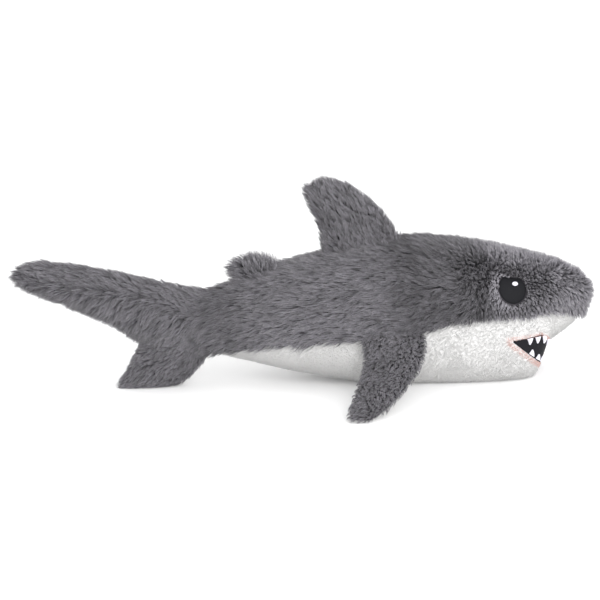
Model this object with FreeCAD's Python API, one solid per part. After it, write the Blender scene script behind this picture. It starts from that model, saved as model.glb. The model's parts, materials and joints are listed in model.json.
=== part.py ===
import FreeCAD, Part
import math
import os

# A plush shark that lies on its belly. +X points to the nose, +Y to the shark's left, +Z up.
# The origin is on the floor, halfway along the shark. All sizes are in millimetres, without the pile.

# The stuffed bag of the torso and head. It reaches back from the nose to the tail's seam.
BODY_LENGTH = 320.0
BODY_HEIGHT = 119.0
BODY_WIDTH = 103.0
NOSE_X = 242.0
PLUSH = 2.4
JOINT_GAP = 0.5
GROOVE_END_GAP = 1.0

# The tail: a short stock that swings on the torso, and two lobes that swing on the stock.
STOCK_LENGTH = 22.0
STOCK_ROOT_RADIUS = 17.0
LOBE_ROOT_RADIUS = 11.5
LOBE_SPLIT_Z = 38.0
LOBE_SPLIT_GAP = 0.8
UPPER_LOBE_LENGTH = 142.0
UPPER_LOBE_RISE = 104.0
UPPER_LOBE_THICKNESS = 20.0
LOWER_LOBE_LENGTH = 60.0
LOWER_LOBE_THICKNESS = 18.0
LOWER_LOBE_FLOOR_GAP = 1.0

# The fins on the back. Each stands on a root that rolls in a groove along the spine.
DORSAL_X = 45.0
DORSAL_CHORD = 62.0
DORSAL_RISE = 65.5
DORSAL_THICKNESS = 13.0
DORSAL_ROOT_RADIUS = 8.5
REAR_DORSAL_X = -43.0
REAR_DORSAL_CHORD = 30.0
REAR_DORSAL_RISE = 19.0
REAR_DORSAL_THICKNESS = 9.0
REAR_DORSAL_ROOT_RADIUS = 6.0

# The pectoral fins, which slope down from the flanks to the floor.
PECTORAL_X = 62.0
PECTORAL_Z = 46.0
PECTORAL_CHORD = 50.0
PECTORAL_SPAN = 92.0
PECTORAL_THICKNESS = 11.0
PECTORAL_ROOT_RADIUS = 7.0
PECTORAL_TIP_Z = 1.6

# The face. Stitched pieces stand proud of the plush by their own thickness.
NECK_X = 124.0
EYE_X = 165.3
EYE_Z = 82.2
EYE_WIDTH = 24.4
EYE_HEIGHT = 25.2
EYE_STITCH = 1.2
HIGHLIGHT_WIDTH = 4.6
HIGHLIGHT_HEIGHT = 3.4
HIGHLIGHT_LIFT = 5.5
HIGHLIGHT_STITCH = 0.6
SURROUND_WIDTH = 28.0
SURROUND_HEIGHT = 31.0
SURROUND_SHIFT = 8.0
SURROUND_STITCH = 0.8
MOUTH_CORNER_X = 163.5
MOUTH_CORNER_Z = 39.0
MOUTH_ARCH_X = 192.0
MOUTH_ARCH_Z = 41.0
MOUTH_FRONT_X = 205.0
MOUTH_FRONT_Z = 31.5
MOUTH_LENGTH = 35.0
MOUTH_BOTTOM_Z = 12.5
LIP = 4.0
LOWER_LIP = 8.0
LIP_CORNER_HALF = 2.0
TOOTH_WIDTH = 4.8
TOOTH_LENGTH = 5.4
TOOTH_STITCH = 1.2
UPPER_TEETH = 16
LOWER_TEETH = 14
UPPER_TEETH_TURN = 70.0
LOWER_TEETH_TURN = 66.0

# The outlines below are shares of the sizes above, in hundredths. A row is a slice through a
# stuffed piece: one edge (along, up), the opposite edge (along, up), and its thickness.
BODY_SLICES = [
    (-9, 63.5, -9, 28, 17),
    (-4, 64.5, -4, 24.5, 21),
    (0, 66, 0, 23, 28),
    (8, 72.5, 8, 18, 45),
    (18, 81, 18, 11, 70),
    (31, 88.5, 31, 4, 89.5),
    (43, 94.5, 43, -2, 98),
    (56, 96.5, 56, -4.5, 100),
    (68, 92.5, 68, -6.5, 96.5),
    (76, 88.3, 76, -6.5, 92),
    (82, 84.6, 81, -5.5, 85),
    (86, 82, 83.8, -2, 76),
    (89, 80, 85.1, 4, 66),
    (91.3, 78.2, 85.8, 12, 57),
    (93.4, 75.8, 87, 20, 50),
    (95.4, 73, 91, 27.5, 42),
    (97.3, 69.8, 95.3, 36, 33),
    (98.9, 66.3, 98.2, 44.5, 23),
    (100, 62.5, 99.7, 53, 9),
]
UPPER_LOBE_SLICES = [
    (14, 73, 14, 26, 100),
    (0, 76.5, 0, 29, 100),
    (-17, 82, -20, 34, 92),
    (-36, 88.5, -42, 52, 82),
    (-58, 96, -63, 67.5, 72),
    (-80, 101, -82.5, 79.5, 60),
    (-93, 101.5, -94.5, 87, 42),
    (-99, 97.5, -99.5, 90.5, 18),
]
LOWER_LOBE_SLICES = [
    (33, 130, -66, 128, 100),
    (27, 103, -68, 101, 100),
    (17, 70, -77, 66, 92),
    (2, 38, -88, 33, 80),
    (-15, 15, -97, 12, 62),
    (-30, 3, -98, 0, 30),
]
DORSAL_SLICES = [
    (50, -15, -49, -15, 100),
    (49, 0, -46, 0, 100),
    (40, 27, -45, 23, 92),
    (24, 55, -48, 47, 78),
    (4, 78, -54, 67, 62),
    (-14, 92, -60, 83, 45),
    (-30, 99, -61, 93, 20),
]
PECTORAL_SLICES = [
    (48, -9, -48, -9, 100),
    (48, 0, -48, 0, 100),
    (40, 22, -52, 21, 98),
    (20, 46, -62, 43, 88),
    (-12, 70, -80, 66, 72),
    (-46, 90, -95, 86, 50),
    (-70, 100, -102, 98, 22),
]
# Where the grey back meets the white belly, in shares of the body's length and height.
COLOUR_LINE = [
    (-4, 25),
    (7, 29.5),
    (15, 34),
    (32, 37.5),
    (51, 43),
    (58, 48.5),
    (71, 50),
    (84, 51),
    (90, 50),
    (96, 46),
    (106, 43),
]

# How the shapes are worked out. INSIDE_Z is a height that lies inside the body all along it.
INSIDE_Z = 36.0
LEAST_FILLING = 0.6
REACH = 600.0
SLICE_POINTS = 16
SLICE_START = -math.pi / 3
NEARBY = 0.1
BODY_ROUNDNESS = 2.3
FIN_ROUNDNESS = 2.0
SLICE_MIDDLE = 0.46
X_AXIS = FreeCAD.Vector(1, 0, 0)
Y_AXIS = FreeCAD.Vector(0, 1, 0)
Z_AXIS = FreeCAD.Vector(0, 0, 1)

TAIL_JOINT_X = NOSE_X - BODY_LENGTH
LOBE_JOINT_X = TAIL_JOINT_X - STOCK_LENGTH


def point(x, z):
    """A point on the shark's middle plane."""
    return FreeCAD.Vector(x, 0, z)


def slices(rows, start, length, floor, rise, thickness):
    """Turns rows of shares into slices: two edge points in millimetres and half the thickness."""
    made = []
    for a_along, a_up, b_along, b_up, thick in rows:
        edge_a = point(start + a_along * length / 100, floor + a_up * rise / 100)
        edge_b = point(start + b_along * length / 100, floor + b_up * rise / 100)
        made.append((edge_a, edge_b, thick * thickness / 200))
    return made


def outward(points, index, inside):
    """The direction square to an outline at one of its points, on the side away from inside."""
    before = points[max(index - 1, 0)]
    after = points[min(index + 1, len(points) - 1)]
    along = after - before
    square = point(-along.z, along.x).normalize()
    if square.dot(points[index] - inside) < 0:
        square = square * -1
    return square


def grown(cuts, grow):
    """Slices whose piece is larger by grow all over, or smaller. It ends where it gets too thin."""
    if grow == 0:
        return cuts
    edges_a = [cut[0] for cut in cuts]
    edges_b = [cut[1] for cut in cuts]
    made = []
    for i, (edge_a, edge_b, half) in enumerate(cuts):
        middle = (edge_a + edge_b) * 0.5
        new_a = edge_a + outward(edges_a, i, middle) * grow
        new_b = edge_b + outward(edges_b, i, middle) * grow
        before = cuts[max(i - 1, 0)]
        after = cuts[min(i + 1, len(cuts) - 1)]
        travel = ((after[0] + after[1]) - (before[0] + before[1])) * 0.5
        slope = (after[2] - before[2]) / travel.Length
        moved = ((new_a + new_b) * 0.5 - middle).dot(travel.normalize())
        new_half = half + slope * moved + grow * math.hypot(1, slope)
        if new_half > LEAST_FILLING:
            made.append((new_a, new_b, new_half))
    return made


def stuffed(cuts, roundness, grow=0.0):
    """A stuffed shape: rounded slices, symmetric about the middle plane, joined by a smooth skin."""
    wires = []
    for edge_a, edge_b, half in grown(cuts, grow):
        middle = edge_b + (edge_a - edge_b) * SLICE_MIDDLE
        points = []
        for k in range(SLICE_POINTS):
            turn = SLICE_START + 2 * math.pi * (k + 0.5) / SLICE_POINTS
            side = math.copysign(abs(math.cos(turn)) ** (2 / roundness), math.cos(turn))
            up = math.copysign(abs(math.sin(turn)) ** (2 / roundness), math.sin(turn))
            span = (edge_a - middle) if up > 0 else (middle - edge_b)
            points.append(middle + span * up + Y_AXIS * (half * side))
        curve = Part.BSplineCurve()
        curve.interpolate(Points=points, PeriodicFlag=True)
        wires.append(Part.Wire(curve.toShape()))
    return Part.makeLoft(wires, True, False)


def half_space(base, direction):
    """Everything on the side of a plane that direction points to, as far as REACH."""
    block = Part.makeBox(2 * REACH, 2 * REACH, REACH, FreeCAD.Vector(-REACH, -REACH, 0))
    block.Placement = FreeCAD.Placement(base, FreeCAD.Rotation(Z_AXIS, direction))
    return block


def swing_region(base, axis, direction, radius):
    """What lies beyond a seam that bends about axis: a round root and all that is past it."""
    root = Part.makeCylinder(radius, 2 * REACH, base - axis * REACH, axis)
    return root.fuse(half_space(base, direction))


def prism(edges):
    """A flat outline on the middle plane, stretched through the shark from side to side."""
    face = Part.Face(Part.Wire(edges))
    face.translate(Y_AXIS * -REACH)
    return face.extrude(Y_AXIS * (2 * REACH))


def line(start, end):
    return Part.LineSegment(start, end).toShape()


def polygon(points):
    return [line(points[i], points[(i + 1) % len(points)]) for i in range(len(points))]


RIGHT = half_space(FreeCAD.Vector(0, 0, 0), Y_AXIS * -1)
LEFT = half_space(FreeCAD.Vector(0, 0, 0), Y_AXIS)


class Bag:
    """A sewn bag: the outer skin, and the filling that lies one thickness of plush inside it."""

    def __init__(self, cuts, roundness):
        self.outer = stuffed(cuts, roundness)
        self.inner = stuffed(cuts, roundness, -PLUSH)

    def keep(self, region):
        self.outer = self.outer.common(region)
        self.inner = self.inner.common(region)

    def remove(self, region):
        self.outer = self.outer.cut(region)
        self.inner = self.inner.cut(region)

    def move(self, placement):
        self.outer.Placement = placement
        self.inner.Placement = placement

    def skin(self):
        return self.outer.cut(self.inner)


def body_slices():
    return slices(BODY_SLICES, TAIL_JOINT_X, BODY_LENGTH, 0, BODY_HEIGHT, BODY_WIDTH)


def on_body(shape, start, direction):
    """Where a straight line from inside the body leaves it."""
    ray = line(start, start + direction * REACH)
    inside = shape.common(ray)
    return max((v.Point for v in inside.Vertexes), key=lambda p: (p - start).Length)


def back_line(body, x, chord):
    """The middle and the slope of the back under a fin that is rooted there."""
    rear = on_body(body, point(x - chord / 2, INSIDE_Z), Z_AXIS)
    front = on_body(body, point(x + chord / 2, INSIDE_Z), Z_AXIS)
    return (rear + front) * 0.5, (front - rear).normalize()


nodes = {}


def halves(name, bag):
    """The two panels of a bag, which meet in its middle plane, and its filling."""
    skin = bag.skin()
    for side, region in (("right", RIGHT), ("left", LEFT)):
        nodes[name + "_" + side + "_panel"] = skin.common(region)
    nodes[name + "_filling"] = bag.inner


def make_tail():
    """The stock and the two lobes, all cut from smooth shapes at their round roots."""
    lobe_base = point(LOBE_JOINT_X, 0)
    stock = Bag(body_slices(), BODY_ROUNDNESS)
    stock.keep(swing_region(point(TAIL_JOINT_X, 0), Z_AXIS, X_AXIS * -1, STOCK_ROOT_RADIUS))
    stock.remove(swing_region(lobe_base, Z_AXIS, X_AXIS * -1, LOBE_ROOT_RADIUS + JOINT_GAP))
    halves("tail_stock", stock)
    lobes = swing_region(lobe_base, Z_AXIS, X_AXIS * -1, LOBE_ROOT_RADIUS)
    upper = Bag(
        slices(UPPER_LOBE_SLICES, LOBE_JOINT_X, UPPER_LOBE_LENGTH, 0, UPPER_LOBE_RISE, UPPER_LOBE_THICKNESS),
        FIN_ROUNDNESS,
    )
    upper.keep(lobes)
    upper.keep(half_space(point(0, LOBE_SPLIT_Z + LOBE_SPLIT_GAP / 2), Z_AXIS))
    halves("upper_lobe", upper)
    drop = LOBE_SPLIT_Z - LOWER_LOBE_FLOOR_GAP
    lower = Bag(
        slices(
            LOWER_LOBE_SLICES,
            LOBE_JOINT_X,
            LOWER_LOBE_LENGTH,
            LOWER_LOBE_FLOOR_GAP,
            drop,
            LOWER_LOBE_THICKNESS,
        ),
        FIN_ROUNDNESS,
    )
    lower.keep(lobes)
    lower.keep(half_space(point(0, LOBE_SPLIT_Z - LOBE_SPLIT_GAP / 2), Z_AXIS * -1))
    halves("lower_lobe", lower)


def make_back_fin(name, body, x, chord, rise, thickness, radius):
    """A fin on the spine. Returns the groove that its root rolls in."""
    middle, along = back_line(body, x, chord)
    fin = Bag(slices(DORSAL_SLICES, 0, chord, 0, rise, thickness), FIN_ROUNDNESS)
    fin.keep(swing_region(point(0, 0), X_AXIS, Z_AXIS, radius))
    fin.move(FreeCAD.Placement(middle, FreeCAD.Rotation(X_AXIS, along)))
    halves(name, fin)
    length = chord + 2 * GROOVE_END_GAP
    print(name, "axis through", tuple(middle), "along", tuple(along))
    return Part.makeCylinder(radius + JOINT_GAP, length, middle - along * (length / 2), along)


def make_pectorals(body):
    """The two pectoral fins: grey above and white below. Returns the grooves for their roots."""
    side = on_body(body, point(PECTORAL_X, PECTORAL_Z), Y_AXIS * -1)
    droop = math.degrees(math.asin((PECTORAL_Z - PECTORAL_TIP_Z) / PECTORAL_SPAN))
    fin = Bag(
        slices(PECTORAL_SLICES, 0, PECTORAL_CHORD, 0, PECTORAL_SPAN, PECTORAL_THICKNESS),
        FIN_ROUNDNESS,
    )
    fin.keep(swing_region(point(0, 0), X_AXIS, Z_AXIS, PECTORAL_ROOT_RADIUS))
    skin = fin.skin()
    pieces = {
        "upper_panel": skin.common(LEFT),
        "lower_panel": skin.common(RIGHT),
        "filling": fin.inner,
    }
    placement = FreeCAD.Placement(side, FreeCAD.Rotation(X_AXIS, 90 + droop))
    for name, piece in pieces.items():
        piece.Placement = placement
        nodes["right_pectoral_" + name] = piece
        nodes["left_pectoral_" + name] = piece.mirror(FreeCAD.Vector(0, 0, 0), Y_AXIS)
    print("right pectoral axis through", tuple(side), "droop", droop)
    length = PECTORAL_CHORD + 2 * GROOVE_END_GAP
    groove = Part.makeCylinder(
        PECTORAL_ROOT_RADIUS + JOINT_GAP, length, side - X_AXIS * (length / 2), X_AXIS
    )
    return [groove, groove.mirror(FreeCAD.Vector(0, 0, 0), Y_AXIS)]


def grey_region():
    """Everything above the line where grey plush meets white."""
    points = [
        point(TAIL_JOINT_X + along * BODY_LENGTH / 100, up * BODY_HEIGHT / 100) for along, up in COLOUR_LINE
    ]
    curve = Part.BSplineCurve()
    curve.interpolate(points)
    last = points[-1]
    first = points[0]
    high_last = point(last.x, REACH)
    high_first = point(first.x - REACH, REACH)
    low_first = point(first.x - REACH, first.z)
    return prism(
        [
            curve.toShape(),
            line(last, high_last),
            line(high_last, high_first),
            line(high_first, low_first),
            line(low_first, first),
        ]
    )


def on_line(x, start, end):
    """The height at x of the line through two points of the middle plane."""
    return start.z + (end.z - start.z) * (x - start.x) / (end.x - start.x)


MOUTH_CORNER = point(MOUTH_CORNER_X, MOUTH_CORNER_Z)
MOUTH_ARCH = point(MOUTH_ARCH_X, MOUTH_ARCH_Z)
MOUTH_REACH = NOSE_X + LIP


def mouth_top(x):
    """The upper edge of the mouth climbs from the corner to its arch, then drops to the front."""
    front = point(MOUTH_FRONT_X, MOUTH_FRONT_Z)
    return min(on_line(x, MOUTH_CORNER, MOUTH_ARCH), on_line(x, MOUTH_ARCH, front))


def mouth_bottom(x):
    """The lower edge of the mouth drops straight from the corner to the chin."""
    chin = point(MOUTH_CORNER_X + MOUTH_LENGTH, MOUTH_BOTTOM_Z)
    return on_line(x, MOUTH_CORNER, chin)


def mouth_region():
    """The wedge between the jaws."""
    top = point(MOUTH_REACH, mouth_top(MOUTH_REACH))
    bottom = point(MOUTH_REACH, mouth_bottom(MOUTH_REACH))
    return prism(polygon([MOUTH_CORNER, MOUTH_ARCH, top, bottom]))


def lip_region():
    """The mouth's wedge with the band of the lips all round it."""
    back = MOUTH_CORNER_X - LIP
    upper_back = point(back, MOUTH_CORNER_Z + LIP_CORNER_HALF)
    lower_back = point(back, MOUTH_CORNER_Z - LIP_CORNER_HALF)
    arch = MOUTH_ARCH + Z_AXIS * LIP
    top = point(MOUTH_REACH, mouth_top(MOUTH_REACH) + LIP)
    bottom = point(MOUTH_REACH, mouth_bottom(MOUTH_REACH) - LOWER_LIP)
    return prism(polygon([upper_back, arch, top, bottom, lower_back]))


def torso_panels(skin):
    """Cuts the torso's skin along its seams."""
    grey = skin.common(grey_region())
    white = skin.cut(grey_region())
    head = grey.common(half_space(point(NECK_X, 0), X_AXIS))
    back = grey.cut(half_space(point(NECK_X, 0), X_AXIS))
    nodes["right_back_panel"] = back.common(RIGHT)
    nodes["left_back_panel"] = back.common(LEFT)
    nodes["right_head_panel"] = head.common(RIGHT)
    nodes["left_head_panel"] = head.common(LEFT)
    mouth = mouth_region()
    lips = lip_region()
    nodes["mouth_lining"] = white.common(mouth)
    nodes["lip_strip"] = white.common(lips).cut(mouth)
    rest = white.cut(lips)
    muzzle = prism(
        polygon(
            [
                point(NECK_X, MOUTH_CORNER_Z),
                MOUTH_CORNER,
                MOUTH_ARCH,
                point(MOUTH_REACH, mouth_top(MOUTH_REACH)),
                point(MOUTH_REACH, BODY_HEIGHT),
                point(NECK_X, BODY_HEIGHT),
            ]
        )
    )
    nodes["muzzle_panel"] = rest.common(muzzle)
    nodes["belly_panel"] = rest.cut(muzzle)


def stitched(prisms, inside, thickness):
    """Flat stitched pieces that lie on the body and take its curve."""
    above = stuffed(body_slices(), BODY_ROUNDNESS, inside + thickness)
    below = stuffed(body_slices(), BODY_ROUNDNESS, inside) if inside else BODY
    return Part.makeCompound(prisms).common(above).cut(below)


def frame_at(x, z, direction):
    """A placement on the body's side: its local Z points out of the plush and its X to the nose."""
    spot = on_body(BODY, point(x, z), direction)
    ahead = on_body(BODY, point(x + 1, z), direction) - spot
    above = on_body(BODY, point(x, z + 1), direction) - spot
    out = ahead.cross(above).normalize()
    if out.dot(direction) < 0:
        out = out * -1
    return spot, ahead.normalize(), out


def oval(spot, ahead, out, width, height, shift=0.0, lift=0.0):
    """A short post with an oval section that stands square on the plush at spot."""
    up = out.cross(ahead) if out.cross(ahead).z > 0 else ahead.cross(out)
    centre = spot + ahead * shift + up * lift - out * width
    major, minor = (width, height) if width >= height else (height, width)
    long_way = ahead if width >= height else up
    ellipse = Part.Ellipse(
        centre + long_way * (major / 2),
        centre + out.cross(long_way) * (minor / 2),
        centre,
    )
    face = Part.Face(Part.Wire(ellipse.toShape()))
    return face.extrude(out * (2 * width))


def make_eyes():
    for side, direction in (("right", Y_AXIS * -1), ("left", Y_AXIS)):
        spot, ahead, out = frame_at(EYE_X, EYE_Z, direction)
        eye = oval(spot, ahead, out, EYE_WIDTH, EYE_HEIGHT)
        ring = oval(spot, ahead, out, SURROUND_WIDTH, SURROUND_HEIGHT, -SURROUND_SHIFT).cut(eye)
        glint = oval(spot, ahead, out, HIGHLIGHT_WIDTH, HIGHLIGHT_HEIGHT, 0, HIGHLIGHT_LIFT)
        nodes[side + "_eye"] = stitched([eye], 0, EYE_STITCH)
        nodes[side + "_eye_surround"] = stitched([ring], 0, SURROUND_STITCH)
        nodes[side + "_eye_highlight"] = stitched([glint], EYE_STITCH, HIGHLIGHT_STITCH)


def tooth(turn, edge, middle_z, length):
    """A stitched triangle that stands on the mouth's edge at one direction round the jaw."""
    direction = FreeCAD.Vector(math.cos(turn), math.sin(turn), 0)
    base_z = edge(on_body(BODY, point(MOUTH_CORNER_X, middle_z), direction).x)
    axis = point(MOUTH_CORNER_X, base_z)
    root = on_body(BODY, axis, direction)
    tip = on_body(BODY, axis + Z_AXIS * length, direction)
    beside = on_body(BODY, axis, direction + Z_AXIS.cross(direction) * NEARBY)
    across = (beside - root).normalize() * (TOOTH_WIDTH / 2)
    out = across.cross(tip - root).normalize() * TOOTH_STITCH
    face = Part.Face(Part.Wire(polygon([root - across - out, root + across - out, tip - out])))
    return face.extrude(out * 2)


def make_teeth():
    rows = (
        ("upper_teeth", UPPER_TEETH, UPPER_TEETH_TURN, mouth_top, MOUTH_FRONT_Z, -TOOTH_LENGTH),
        ("lower_teeth", LOWER_TEETH, LOWER_TEETH_TURN, mouth_bottom, MOUTH_BOTTOM_Z, TOOTH_LENGTH),
    )
    for name, count, widest, edge, front_z, length in rows:
        turns = [math.radians(widest * (2 * k / (count - 1) - 1)) for k in range(count)]
        middle_z = (MOUTH_CORNER_Z + front_z) / 2
        teeth = [tooth(turn, edge, middle_z, length) for turn in turns]
        nodes[name] = Part.makeCompound(teeth).cut(BODY)


FLOOR = half_space(FreeCAD.Vector(0, 0, 0), Z_AXIS)
BODY = stuffed(body_slices(), BODY_ROUNDNESS)

torso = Bag(body_slices(), BODY_ROUNDNESS)
torso.outer = torso.outer.common(FLOOR)
torso.inner = torso.inner.common(half_space(point(0, PLUSH), Z_AXIS))
torso.remove(
    swing_region(point(TAIL_JOINT_X, 0), Z_AXIS, X_AXIS * -1, STOCK_ROOT_RADIUS + JOINT_GAP)
)
make_tail()
grooves = make_pectorals(BODY)
grooves.append(
    make_back_fin(
        "dorsal_fin", BODY, DORSAL_X, DORSAL_CHORD, DORSAL_RISE, DORSAL_THICKNESS, DORSAL_ROOT_RADIUS
    )
)
grooves.append(
    make_back_fin(
        "rear_dorsal_fin",
        BODY,
        REAR_DORSAL_X,
        REAR_DORSAL_CHORD,
        REAR_DORSAL_RISE,
        REAR_DORSAL_THICKNESS,
        REAR_DORSAL_ROOT_RADIUS,
    )
)
for groove in grooves:
    torso.remove(groove)
nodes["torso_filling"] = torso.inner
torso_panels(torso.skin())
make_eyes()
make_teeth()

os.makedirs("parts", exist_ok=True)
for name, shape in nodes.items():
    solids = shape.Solids
    print(name, len(solids), "solids", round(shape.Volume), "mm3", shape.isValid())
    result = solids[0] if len(solids) == 1 else Part.makeCompound(solids)
    result.exportStep("parts/" + name + ".step")
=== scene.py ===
import json
import math
import bpy
import numpy as np
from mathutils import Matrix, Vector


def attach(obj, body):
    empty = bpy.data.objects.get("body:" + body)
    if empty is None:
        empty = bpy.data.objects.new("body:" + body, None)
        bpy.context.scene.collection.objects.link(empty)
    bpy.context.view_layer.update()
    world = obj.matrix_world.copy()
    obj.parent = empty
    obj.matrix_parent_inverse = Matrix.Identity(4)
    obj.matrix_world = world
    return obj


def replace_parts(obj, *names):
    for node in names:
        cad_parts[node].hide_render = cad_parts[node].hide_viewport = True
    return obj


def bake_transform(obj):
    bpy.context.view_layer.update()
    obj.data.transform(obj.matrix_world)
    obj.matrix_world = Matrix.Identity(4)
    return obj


# %% [markdown]
# # A plush shark
# The toy is a stuffed bag of plush. Its back is grey with a long pile, and its belly and
# muzzle are white with a short one. The frame below gives each sewn piece's place and the
# seams that bend. Everything is in metres: +X points to the nose, +Y to the shark's left.

# %% The frame
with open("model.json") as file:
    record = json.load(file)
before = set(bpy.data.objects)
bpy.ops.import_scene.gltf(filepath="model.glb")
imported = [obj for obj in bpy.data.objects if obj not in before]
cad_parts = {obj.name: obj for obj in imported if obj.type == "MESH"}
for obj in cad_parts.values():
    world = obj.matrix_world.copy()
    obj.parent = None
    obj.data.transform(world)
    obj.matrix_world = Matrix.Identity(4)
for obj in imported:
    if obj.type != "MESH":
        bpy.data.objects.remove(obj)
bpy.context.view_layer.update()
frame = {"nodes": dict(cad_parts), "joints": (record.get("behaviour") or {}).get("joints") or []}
joints = {joint["name"]: joint for joint in frame["joints"]}
MM = 0.001
print("sewn pieces:", len(frame["nodes"]), "seams that bend:", len(joints))

# %% [markdown]
# ## Writing shader maths as sums
# A material is a graph of nodes. Linking dozens of Math nodes by hand hides the formula, so
# one small class stands for a socket and turns + and * into nodes. Other nodes come from a
# single method that takes the node's type, its settings and its inputs.


# %% A socket that can be added and multiplied
class Value:
    """An output socket. A sum or product with it adds a Math node to its tree."""

    def __init__(self, tree, socket):
        self.tree = tree
        self.socket = socket

    def maths(self, operation, first, second):
        node = self.tree.nodes.new("ShaderNodeMath")
        node.operation = operation
        for place, term in enumerate((first, second)):
            if isinstance(term, Value):
                self.tree.links.new(term.socket, node.inputs[place])
            else:
                node.inputs[place].default_value = term
        return Value(self.tree, node.outputs[0])

    def __radd__(self, other):
        return self.maths("ADD", other, self)

    def __mul__(self, other):
        return self.maths("MULTIPLY", self, other)


class Finish:
    """A material on one Principled shader, with its constant values set on the shader."""

    def __init__(self, name, constants):
        self.material = bpy.data.materials.new(name)
        self.material.use_nodes = True
        self.tree = self.material.node_tree
        self.shader = self.tree.nodes["Principled BSDF"]
        for socket, value in constants.items():
            self.shader.inputs[socket].default_value = value

    def node(self, kind, settings, inputs, output=0):
        """Adds a node, sets it up, fills its inputs with values or links, and gives one output."""
        node = self.tree.nodes.new(kind)
        for key, value in settings.items():
            if key == "stops":
                ramp = node.color_ramp
                while len(ramp.elements) < len(value):
                    ramp.elements.new(1.0)
                for element, (place, colour) in zip(ramp.elements, value):
                    element.position = place
                    element.color = (*colour, 1.0)
            else:
                setattr(node, key, value)
        for key, value in inputs.items():
            if isinstance(value, Value):
                self.tree.links.new(value.socket, node.inputs[key])
            else:
                node.inputs[key].default_value = value
        return Value(self.tree, node.outputs[output])

    def feed(self, socket, value):
        self.tree.links.new(value.socket, self.shader.inputs[socket])


# %% [markdown]
# ## The pile's colour
# The ramp paints shade: the pile is dark at its roots, where light can't reach, and lighter
# at its tips. Every strand carries a small map of its own: across is its shade, chosen once
# for each lock of hair, and up is the height along the strand. The material reads only that
# map, so one finish colours a hundred thousand strands, each a little differently.

# %% Finishes for pile
STRAND_MAP = "OFBake"


def strand_places(finish):
    """The shade and the height along the strand, both from 0 to 1."""
    place = finish.node("ShaderNodeUVMap", {"uv_map": STRAND_MAP}, {})
    shade = finish.node("ShaderNodeSeparateXYZ", {}, {0: place}, 0)
    height = finish.node("ShaderNodeSeparateXYZ", {}, {0: place}, 1)
    return shade, height


def make_pile_finish(name, stops, darkest, spread):
    """Colour = ramp(height) x (darkest + spread x shade), with a soft sheen like fibre."""
    finish = Finish(name, {"Roughness": 0.82, "Sheen Weight": 0.25, "Sheen Roughness": 0.5})
    shade, height = strand_places(finish)
    tint = finish.node("ShaderNodeValToRGB", {"stops": stops}, {0: height})
    scaled = finish.node(
        "ShaderNodeVectorMath", {"operation": "SCALE"}, {0: tint, "Scale": darkest + shade * spread}
    )
    finish.feed("Base Color", scaled)
    return finish.material


# Painted shade: the grey runs from near black at the roots to pale grey at the tips.
GREY_ROOT_SHADE_STOPS = [
    (0.0, (0.022, 0.020, 0.025)),
    (0.35, (0.085, 0.080, 0.092)),
    (0.75, (0.215, 0.207, 0.227)),
    (1.0, (0.420, 0.410, 0.435)),
]
grey_pile = make_pile_finish("grey_long_pile", GREY_ROOT_SHADE_STOPS, 0.3, 1.5)


def make_white_pile_finish():
    """White pile whose shade runs from white to the pink of the lips in its upper half."""
    finish = Finish("white_short_pile", {"Roughness": 0.9, "Sheen Weight": 0.2, "Sheen Roughness": 0.5})
    shade, height = strand_places(finish)
    # Painted shade: the white is a little darker towards the roots.
    stops = [(0.0, (0.68, 0.675, 0.67)), (0.5, (0.75, 0.745, 0.74)), (1.0, (0.82, 0.815, 0.81))]
    white = finish.node("ShaderNodeValToRGB", {"stops": stops}, {0: height})
    pinkness = finish.node(
        "ShaderNodeMapRange", {}, {"Value": shade, "From Min": 0.5, "From Max": 0.95}
    )
    both = finish.node(
        "ShaderNodeMix",
        {"data_type": "RGBA", "blend_type": "MULTIPLY"},
        {0: pinkness, 6: white, 7: (1.0, 0.66, 0.60, 1.0)},
        2,
    )
    finish.feed("Base Color", both)
    return finish.material


white_pile = make_white_pile_finish()
print("pile finishes:", grey_pile.name, white_pile.name)

# %% [markdown]
# ## Knitted backing, felt and thread
# Under the pile lies a knitted backing, seen only where the hair parts. The mouth is lined
# with black felt. The eyes and teeth are satin stitch: smooth shiny thread laid side by
# side. The thread's ridges are real geometry further down, and its fine twist is a bump.


# %% Finishes for cloth and thread
def make_backing_finish():
    """Knitted backing: a fine noise over the colour that the panel's attribute chooses."""
    finish = Finish("knitted_backing", {"Roughness": 0.95})
    spot = finish.node("ShaderNodeTexCoord", {}, {}, 3)
    grain = finish.node("ShaderNodeTexNoise", {}, {"Vector": spot, "Scale": 900.0, "Detail": 3.0})
    white = finish.node("ShaderNodeAttribute", {"attribute_name": "white_panel"}, {}, 2)
    tint = finish.node(
        "ShaderNodeMix",
        {"data_type": "RGBA"},
        {0: white, 6: (0.035, 0.032, 0.038, 1.0), 7: (0.75, 0.745, 0.74, 1.0)},
        2,
    )
    shaded = finish.node(
        "ShaderNodeVectorMath", {"operation": "SCALE"}, {0: tint, "Scale": 0.85 + grain * 0.3}
    )
    finish.feed("Base Color", shaded)
    bump = finish.node("ShaderNodeBump", {}, {"Height": grain, "Strength": 0.5, "Distance": 0.0004})
    finish.feed("Normal", bump)
    return finish.material


def make_cloth_finish(name, dark, light, roughness, scale, sheen, relief, shine=0.5):
    """Cloth or thread: two close colours mixed by a noise, whose relief also bumps the surface."""
    constants = {"Sheen Weight": sheen, "Sheen Roughness": 0.4, "Specular IOR Level": shine}
    finish = Finish(name, constants)
    spot = finish.node("ShaderNodeTexCoord", {}, {}, 3)
    grain = finish.node("ShaderNodeTexNoise", {}, {"Vector": spot, "Scale": scale, "Detail": 4.0})
    tint = finish.node(
        "ShaderNodeMix", {"data_type": "RGBA"}, {0: grain, 6: (*dark, 1.0), 7: (*light, 1.0)}, 2
    )
    finish.feed("Base Color", tint)
    finish.feed("Roughness", roughness + grain * 0.15)
    bump = finish.node("ShaderNodeBump", {}, {"Height": grain, "Strength": 0.6, "Distance": relief})
    finish.feed("Normal", bump)
    return finish.material


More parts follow.
